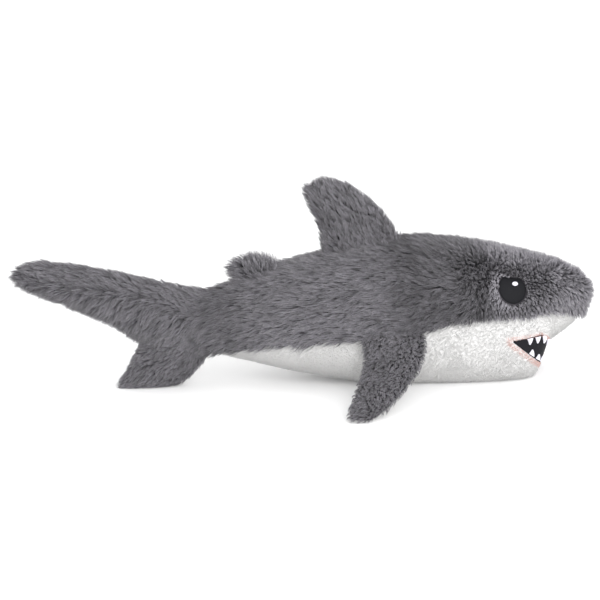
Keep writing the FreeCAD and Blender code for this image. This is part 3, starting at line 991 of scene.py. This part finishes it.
def mouth_spot(turn, share):
    """A point on the head at angle turn, at a share of the way from the lower edge to the upper."""
    turn, share = np.broadcast_arrays(turn, share)
    x = np.full(turn.shape, MOUTH_X + MOUTH_LENGTH)
    for _ in range(12):
        low = mouth_bottom(x)
        high = mouth_top(x)
        spots = round_jaw(turn, low + share * (high - low))
        x = (x + spots[..., 0]) / 2
    return spots


def sheet_faces(rows, columns):
    """Quads of a closed sheet: the top grid, the under grid behind it, and a wall round the rim."""
    row, column = np.meshgrid(np.arange(rows - 1), np.arange(columns - 1), indexing="ij")
    here = (row * columns + column).ravel()
    quads = np.column_stack([here, here + 1, here + 1 + columns, here + columns])
    count = rows * columns
    rim = np.concatenate(
        [
            np.arange(columns - 1),
            np.arange(rows - 1) * columns + columns - 1,
            (rows - 1) * columns + np.arange(columns - 1, 0, -1),
            np.arange(rows - 1, 0, -1) * columns,
        ]
    )
    after = np.roll(rim, -1)
    wall = np.column_stack([after, rim, rim + count, after + count])
    return np.concatenate([quads, quads[:, ::-1] + count, wall])


def lifted_sheet(spots, lift, depth):
    """Points of a closed sheet: a grid pushed out from the mouth's axis, then the same pushed in."""
    out = spots - np.array([MOUTH_X - 0.02, 0, 0.03])
    out = out / np.linalg.norm(out, axis=2, keepdims=True)
    top = (spots + out * lift[..., None]).reshape(-1, 3)
    both = np.concatenate([top, (spots - out * depth).reshape(-1, 3)])
    return both, turned_outward(both - both.mean(0), [sheet_faces(*spots.shape[:2])])[0]


turn = np.radians(np.linspace(-88, 88, 150))[:, None]
share = np.linspace(-0.04, 1.04, 40)[None, :]
lining_spots = mouth_spot(turn, share)
weave = ridges(lining_spots[..., 1] + lining_spots[..., 2], 0.0012, 0.0001)
points, faces = lifted_sheet(lining_spots, 0.0004 + weave, 0.001)
lining = make_mesh("mouth_felt", points, [faces], black_felt)
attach(lining, "torso")
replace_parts(lining, "mouth_lining")

# %% [markdown]
# Each tooth is a small triangle of satin stitch. One row of formulas makes them all: along
# a tooth its width shrinks to nothing at the tip, and across it the threads lie as ridges.


# %% Teeth
TOOTH_WIDTH = 0.0048
TOOTH_LENGTH = 0.0054


def make_teeth(name, count, widest, base, way):
    """Joins the teeth of one jaw. Each is a grid (along, across) mapped to the mouth's surface."""
    across = np.linspace(-1, 1, 17)
    along = np.linspace(0, 1, 21)[:, None]
    points, groups = [], []
    for middle in np.radians(np.linspace(-widest, widest, count)):
        low, high = (mouth_spot(np.array([middle]), np.array([share]))[0] for share in (0.0, 1.0))
        root = high if base == 1.0 else low
        reach = np.hypot(root[0] - MOUTH_X, root[1])
        half = TOOTH_WIDTH / 2 / reach * (1 - 0.93 * along**1.15) * across
        step = TOOTH_LENGTH / (high[2] - low[2]) * way
        spots = mouth_spot(middle + half, base + step * along + 0 * half)
        dome = (1 - np.abs(across) ** 3) * (1 - along**3)
        threads = ridges(across * (1 - along * 0.9), 0.36, 0.00012)
        tooth, faces = lifted_sheet(spots, 0.0012 + 0.0012 * dome + threads, 0.0005)
        groups.append(faces + len(tooth) * len(points))
        points.append(tooth)
    piece = make_mesh(name, np.concatenate(points), [np.concatenate(groups)], white_thread)
    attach(piece, "torso")
    return piece


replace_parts(make_teeth("upper_teeth_stitching", 16, 70, 1.0, -1), "upper_teeth")
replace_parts(make_teeth("lower_teeth_stitching", 14, 66, 0.0, 1), "lower_teeth")
print("teeth sewn")

# %% [markdown]
# ## Combing the pile
# Every region has its own way for the pile to lie. The body's pile is swept back, the
# head's is shorter and hangs, and the tail's parts along a line, up above it and down
# below. A comb direction is only a rough vector: the part along the normal is taken away.

# %% Which strands, and which way
TAIL_BEND = ((-0.062, 0, 0.05), (-0.085, 0, 0.05))
GREY_DENSITY = 1.6
WHITE_DENSITY = 1.9
GREY_THICK = 0.00027
WHITE_THICK = 0.00027
EYE_MARGIN = 1.06
CRESCENT_LENGTH = 0.0044


def in_mouth(points, margin):
    """True inside the mouth's wedge, or closer to it than margin."""
    x, z = points[:, 0], points[:, 2]
    above = z > mouth_bottom(x) - margin
    below = z < mouth_top(x) + margin
    return above & below & (x > MOUTH_X - margin)


def eye_distance(points):
    """1 on the eye's rim and less inside it: the length of (ahead, up) in the oval's own radii."""
    ahead, up = eye_places(points)
    oval = np.hypot(ahead / (EYE_WIDTH / 2), up / (EYE_HEIGHT / 2))
    lid = up / (LID[0] + LID[1] * ahead)
    inside = np.where(up > 0, np.maximum(oval, lid), oval)
    return np.where(points[:, 0] > 0.13, inside, 9.0)


def in_crescent(points):
    """True on the paler patch of short pile behind and below the eye."""
    ahead, up = eye_places(points)
    patch_radius = np.hypot((ahead + 0.008) / 0.014, (up + 0.001) / 0.0155)
    return (patch_radius < 1) & (points[:, 0] > 0.13)


def mixed(first, second, share):
    """A direction that turns from first to second as share goes from 0 to 1."""
    share = np.clip(share, 0, 1)[:, None]
    return np.asarray(first) * (1 - share) + np.asarray(second) * share


def settle(piece):
    """Bakes a piece's place into its points if it reaches back past the tail's seam, or rides it on the
    torso.
    """
    if min(corner[0] for corner in piece.bound_box) < TAIL_BEND[0][0]:
        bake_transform(piece)
    else:
        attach(piece, "torso")


# %% Grey pile on the body
roots, normals = scatter(grids["torso"], GREY_DENSITY)
grey = (above_seam(roots) > (chance(locks(roots, 0.003), 1) - 0.7) * 0.003) & ~in_mouth(roots, 0.001)
grey = grey & (eye_distance(roots) > EYE_MARGIN)
roots, normals = roots[grey], normals[grey]
headward = (roots[:, 0] - 0.115) / 0.03
comb = mixed((-1.0, 0, -0.22), (-0.55, 0, -0.80), headward)
# The pile is long on the back, shorter on the head and very short round the eye.
LENGTH_X = [-0.09, 0.10, 0.14, 0.20, 0.24]
LENGTHS = [0.011, 0.012, 0.009, 0.008, 0.007]
close = np.clip((eye_distance(roots) - 1) / 0.9, 0, 1)
length = np.interp(roots[:, 0], LENGTH_X, LENGTHS) * (0.4 + 0.6 * close)
crescent = in_crescent(roots)
length = np.where(crescent, CRESCENT_LENGTH, length)
rise = (0.62 + 0.75 * np.clip(headward, 0, 1) * (1 - crescent))[:, None]
body_pile = Pile(roots, normals, comb, length, rise, GREY_THICK * (1 + 0.45 * crescent))
# Painted shade and light: the pile is darkened where the body narrows to the tail, behind the head and
# along the spine, and lightened on the head and low on the flank.
PAINTED_SHADE_X = [-0.10, -0.065, -0.045, 0.05, 0.085, 0.135, 0.155, 0.25]
PAINTED_SHADE_AND_LIGHT = [0.20, 0.20, -0.05, -0.04, 0.24, 0.18, -0.26, -0.30]
behind_fin = roots[:, 0] < 0.09
low_flank_painted_light = np.clip((0.075 - roots[:, 2]) / 0.03, 0, 1) * behind_fin
spine_painted_shade = np.clip((roots[:, 2] - 0.088) / 0.02, 0, 1) * behind_fin
painted_shade_and_light = np.interp(roots[:, 0], PAINTED_SHADE_X, PAINTED_SHADE_AND_LIGHT) - 0.08 * low_flank_painted_light + 0.06 * spine_painted_shade
# The painted shade and light are taken off each strand's shade value here.
body_pile.shade = np.clip(body_pile.shade - painted_shade_and_light + 0.30 * crescent, *SHADE_LIMITS)
for piece in body_pile.pieces("body_grey_pile", grey_pile, "grey_pile"):
    settle(piece)


# %% Grey pile on the tail
def tail_pile(name, comb_above, comb_below, part_z, length, rise):
    """Pile of a lobe, parted along the line (PART_X, part_z), from the stock to the tip."""
    roots, normals = scatter(grids[name], GREY_DENSITY)
    keep = roots[:, 0] < TAIL_CUT
    roots, normals = roots[keep], normals[keep]
    over = (roots[:, 2] - np.interp(roots[:, 0], PART_X, part_z)) / 0.006 + 0.5
    pile = Pile(roots, normals, mixed(comb_below, comb_above, over), length, rise, GREY_THICK)
    for piece in pile.pieces(name + "_pile", grey_pile, "grey_pile"):
        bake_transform(piece)


TAIL_CUT = -0.088
PART_X = [-0.25, -0.204, -0.150, -0.100]
UPPER_PART_Z = [0.098, 0.088, 0.080, 0.061]
LOWER_PART_Z = [0.020, 0.020, 0.020, 0.020]
tail_pile("upper_lobe", (-1, 0, 0.35), (-0.75, 0, -0.65), UPPER_PART_Z, 0.009, 0.45)
tail_pile("lower_lobe", (-0.8, 0, -0.5), (-0.8, 0, -0.5), LOWER_PART_Z, 0.007, 0.5)


# %% Pile on the fins
def fin_pile(name, combs, length, rise, label="pile", side=0):
    """Pile of one fin, combed from combs[0] at its back edge to combs[1] at its front edge.

    Side 1 keeps the strands of the upper panel, -1 those of the white one below, and 0 both.
    """
    white = side < 0
    density, thick = (WHITE_DENSITY, WHITE_THICK) if white else (GREY_DENSITY, GREY_THICK)
    roots, normals = scatter(grids[name], density)
    origin, turn = fin_places[name]
    keep = (roots - origin) @ turn[:, 2] > -0.002
    if side:
        keep = keep & ((above_fin_seam(roots, name) > 0) == (side > 0))
    roots, normals = roots[keep], normals[keep]
    chord, _, span = ((roots - origin) @ turn).T
    comb = mixed(*combs, (chord - chord.min()) / np.ptp(chord))
    tip_share = np.clip(span / span.max(), 0, 1)
    tangle = 0.4 if white else 1.0
    pile = Pile(roots, normals, comb, length * (1 - 0.35 * tip_share), rise, thick, tangle)
    finish, slot_name = (white_pile, "white_pile") if white else (grey_pile, "grey_pile")
    if white:
        pile.shade = pile.shade * 0.45
    for piece in pile.pieces(name + "_" + label, finish, slot_name, bent=not white):
        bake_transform(piece)


fin_pile("dorsal_fin", ((-0.6, 0, 0.8), (-0.6, 0, 0.8)), 0.011, 0.5)
fin_pile("rear_dorsal_fin", ((-1, 0, 0.15), (0.1, 0, 1)), 0.014, 0.8)
for name in ("right_pectoral_fin", "left_pectoral_fin"):
    turn = fin_places[name][1]
    swept = turn[:, 2] * 0.85 - turn[:, 0] * 0.55
    fin_pile(name, (swept, swept), 0.008, 0.45, "upper_pile", 1)
    fin_pile(name, (swept, swept), 0.004, 0.3, "lower_pile", -1)

# %% [markdown]
# ## White pile and pink lips
# The white plush is short and thick. Near the mouth the same strands take a pink shade,
# strongest next to the felt and gone a few millimetres away, so the lip has no hard edge.

# %% White pile on the belly and the muzzle
roots, normals = scatter(grids["torso"], WHITE_DENSITY)
white = (above_seam(roots) < 0.001) & ~in_mouth(roots, 0.0) & (roots[:, 0] > -0.094)
roots, normals = roots[white], normals[white]
hanging = (roots[:, 0] - 0.2) / 0.02
comb = mixed((-1, 0, -0.1), (-0.5, 0, -0.8), hanging)
white_body = Pile(roots, normals, comb, np.full(len(roots), 0.0024), 0.9, WHITE_THICK, 0.3)
x, z = roots[:, 0], roots[:, 2]
over_lip = z - mouth_top(x)
under_lip = mouth_bottom(x) - z
behind = MOUTH_X - x
from_mouth = np.maximum(np.maximum(over_lip, under_lip * 0.6), behind * 0.9)
pink = np.clip(2.2 - from_mouth / 0.0022, 0, 1) * (behind < 0.006)
white_body.shade = np.clip(white_body.shade * 0.45 + 0.72 * pink, *SHADE_LIMITS)
for piece in white_body.pieces("body_white_pile", white_pile, "white_pile", bent=False):
    settle(piece)

# %% [markdown]
# ## What each skin stands for
# A skin replaces the flat panels and the filling of its sewn piece. The eye surrounds and
# the lips are part of the pile, so the skin under them stands for those nodes as well.

# %% Skins take their places
TWO_PANELS = ("right_panel", "left_panel", "filling")
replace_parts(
    skins["torso"],
    "belly_panel",
    "muzzle_panel",
    "right_back_panel",
    "left_back_panel",
    "right_head_panel",
    "left_head_panel",
    "lip_strip",
    "right_eye_surround",
    "left_eye_surround",
    "torso_filling",
    *("tail_stock_" + part for part in TWO_PANELS),
)
for name in ("upper_lobe", "lower_lobe", "dorsal_fin", "rear_dorsal_fin"):
    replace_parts(skins[name], *(name + "_" + part for part in TWO_PANELS))
for side in ("right", "left"):
    parts = ("upper_panel", "lower_panel", "filling")
    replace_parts(skins[side + "_pectoral_fin"], *(side + "_pectoral_" + part for part in parts))
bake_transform(skins["torso"])
for name in ("upper_lobe", "lower_lobe"):
    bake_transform(skins[name])
for name, (origin, turn) in fin_places.items():
    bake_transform(skins[name])

# %% [markdown]
# ## A pale studio
# A white floor, an even white sky and two large soft lamps. The camera is a long lens a
# little above the toy and a little behind its side.

# %% Floor, light and camera
FLOOR_HALF = 12.0
corners = np.array([[-1, -1, 0], [1, -1, 0], [1, 1, 0], [-1, 1, 0]]) * FLOOR_HALF
paper = Finish("white_paper", {"Base Color": (0.97, 0.97, 0.97, 1.0), "Roughness": 0.9})
paper.shader.inputs["Emission Color"].default_value = (1.0, 1.0, 1.0, 1.0)
paper.shader.inputs["Emission Strength"].default_value = 0.08
floor = make_mesh("floor", corners, [np.array([[0, 1, 2, 3]])], paper.material)

world = bpy.data.worlds.new("studio")
world.use_nodes = True
sky = world.node_tree.nodes["Background"]
sky.inputs["Color"].default_value = (1.0, 1.0, 1.0, 1.0)
sky.inputs["Strength"].default_value = 1.12
bpy.context.scene.world = world


def add_lamp(name, place, target, size, watts):
    """A square soft lamp that faces its target."""
    light = bpy.data.lights.new(name, "AREA")
    light.size = size
    light.energy = watts
    lamp = bpy.data.objects.new(name, light)
    bpy.context.scene.collection.objects.link(lamp)
    lamp.location = place
    lamp.rotation_euler = (Vector(target) - Vector(place)).to_track_quat("-Z", "Y").to_euler()


add_lamp("key", (0.1, -1.7, 0.9), (0, 0, 0.05), 1.0, 16.0)
add_lamp("fill", (1.2, -1.0, 0.7), (0, 0, 0.05), 1.0, 5.0)

CAMERA_TURN = math.radians(-9)
CAMERA_RISE = math.radians(13)
CAMERA_REACH = 1.5
VIEW_WIDTH = 0.507
target = Vector((-0.0085, 0, 0.07))
back = Vector(
    (
        math.sin(CAMERA_TURN) * math.cos(CAMERA_RISE),
        -math.cos(CAMERA_TURN) * math.cos(CAMERA_RISE),
        math.sin(CAMERA_RISE),
    )
)
lens = bpy.data.cameras.new("camera")
lens.lens = lens.sensor_width * CAMERA_REACH / VIEW_WIDTH
camera = bpy.data.objects.new("camera", lens)
bpy.context.scene.collection.objects.link(camera)
camera.location = target + back * CAMERA_REACH
camera.rotation_euler = (-back).to_track_quat("-Z", "Y").to_euler()
bpy.context.scene.camera = camera
bpy.context.scene.view_settings.view_transform = "Standard"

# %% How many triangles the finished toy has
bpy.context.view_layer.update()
meshes = [thing.data for thing in bpy.data.objects if thing.type == "MESH" and not thing.hide_render]
print("triangles:", sum(len(mesh.loops) - 2 * len(mesh.polygons) for mesh in meshes))
